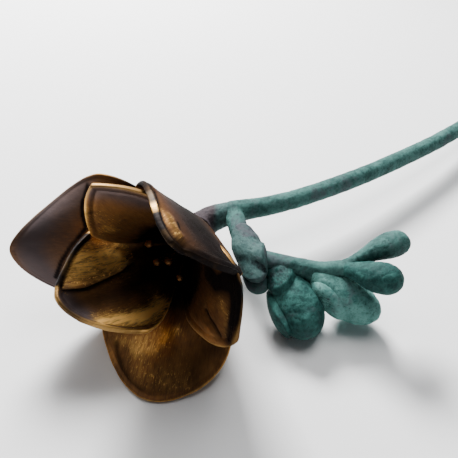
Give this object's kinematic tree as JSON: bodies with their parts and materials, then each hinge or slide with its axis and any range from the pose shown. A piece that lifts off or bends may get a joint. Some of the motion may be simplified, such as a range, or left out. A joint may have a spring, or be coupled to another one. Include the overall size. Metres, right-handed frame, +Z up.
{
  "type": "bronze freesia stem",
  "caption": "Sculpted bronze freesia lying on a surface: an open brown-gold bloom, a long green-patinated stem and a side spike of buds.",
  "frame": {"origin": "on the surface that the flower lies on, under the middle of its bounding box", "axes": "+X towards the stem's cut end, -Y the way the bloom opens, +Z up from the surface"},
  "size_m": [0.2136, 0.167, 0.0487],
  "materials": {
    "brushed_bronze": "dark brown patina brushed through to golden bronze, satin",
    "dark_bronze": "near-black purple-brown patina, matte",
    "green_patina": "mottled verdigris, matte, rough cast"
  },
  "bodies": {
    "root": {"stem": "green_patina", "flower_tube": "dark_bronze", "petal_outer_left": "brushed_bronze", "petal_outer_top": "brushed_bronze", "petal_outer_bottom": "brushed_bronze", "petal_inner_top": "brushed_bronze", "petal_inner_right": "brushed_bronze", "petal_inner_left": "brushed_bronze", "stamens_and_style": "brushed_bronze", "bud_1": "green_patina", "bud_2": "green_patina", "bud_3": "green_patina", "bud_4": "green_patina", "bract_1": "green_patina", "bract_2": "green_patina", "bract_3": "green_patina", "bract_4": "green_patina", "bract_5": "green_patina"}
  },
  "joints": []
}
